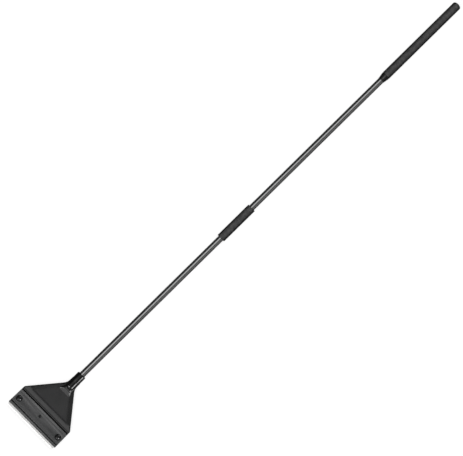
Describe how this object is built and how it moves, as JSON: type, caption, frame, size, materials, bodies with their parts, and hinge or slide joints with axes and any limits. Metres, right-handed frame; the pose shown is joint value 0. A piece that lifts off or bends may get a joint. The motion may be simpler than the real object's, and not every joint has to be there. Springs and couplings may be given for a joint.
{
  "type": "long-handled blade scraper",
  "caption": "Long-handled floor and wall scraper with a bolt-clamped steel blade on a flared head, a threaded two-piece tube handle and a textured grip.",
  "frame": {"origin": "on the back face of the head, midway between the two clamp screws", "axes": "+Y up the handle towards the grip, +X across the blade, +Z out of the face that has the clamp screws; the tool lies on its back"},
  "size_m": [0.1024, 0.94, 0.015],
  "materials": {
    "head_nylon": "satin moulded nylon with a fine texture",
    "plate_nylon": "satin moulded nylon, a little lighter than the head",
    "grip_rubber": "matt, with a fine diamond texture",
    "tube_enamel": "glossy black enamel",
    "blade_steel": "fine ground",
    "plain_steel": "zinc plated",
    "dark_steel": "black oxide",
    "brass": "turned",
    "washer_nylon": "natural nylon"
  },
  "bodies": {
    "lower_pole": {"head_body": "head_nylon", "threaded_inserts": "brass", "locating_peg": "plate_nylon", "socket_pin": "plain_steel", "lower_tube": "tube_enamel", "lower_bush": "plain_steel", "ferrule": "plain_steel", "ferrule_pin": "plain_steel", "sleeve_cover": "grip_rubber"},
    "clamp": {"clamp_plate": "plate_nylon", "lock_washers": "dark_steel"},
    "left_screw": {"clamp_screw_left": "dark_steel"},
    "right_screw": {"clamp_screw_right": "dark_steel"},
    "blade": {"blade": "blade_steel"},
    "joint_washer": {"joint_washer": "washer_nylon"},
    "upper_pole": {"threaded_stud": "plain_steel", "upper_bush": "plain_steel", "upper_tube": "tube_enamel", "tube_plug": "washer_nylon", "grip": "grip_rubber"}
  },
  "joints": [
    {"name": "clamp_lift", "type": "slide", "parent": "lower_pole", "child": "clamp", "axis": [0, 0, 1], "range_m": [0, 0.0064]},
    {"name": "left_screw_turn", "type": "hinge", "parent": "clamp", "child": "left_screw", "pos_m": [-0.0427, 0, 0.0104], "axis": [0, 0, 1], "range_deg": [0, 2880]},
    {"name": "right_screw_turn", "type": "hinge", "parent": "clamp", "child": "right_screw", "pos_m": [0.0427, 0, 0.0104], "axis": [0, 0, 1], "range_deg": [0, 2880]},
    {"name": "blade_slide", "type": "slide", "parent": "lower_pole", "child": "blade", "axis": [1, 0, 0], "range_m": [-0.101, 0.101]},
    {"name": "pole_advance", "type": "slide", "parent": "lower_pole", "child": "joint_washer", "axis": [0, 1, 0], "range_m": [0, 0.015]},
    {"name": "pole_turn", "type": "hinge", "parent": "joint_washer", "child": "upper_pole", "pos_m": [0, 0.4325, 0.0075], "axis": [0, 1, 0], "range_deg": [0, 5400]}
  ],
  "couplings": [
    {"joint": "left_screw_turn", "follows": "clamp_lift", "rad_per_m": 7854},
    {"joint": "right_screw_turn", "follows": "clamp_lift", "rad_per_m": 7854},
    {"joint": "pole_turn", "follows": "pole_advance", "rad_per_m": 6283.2}
  ]
}
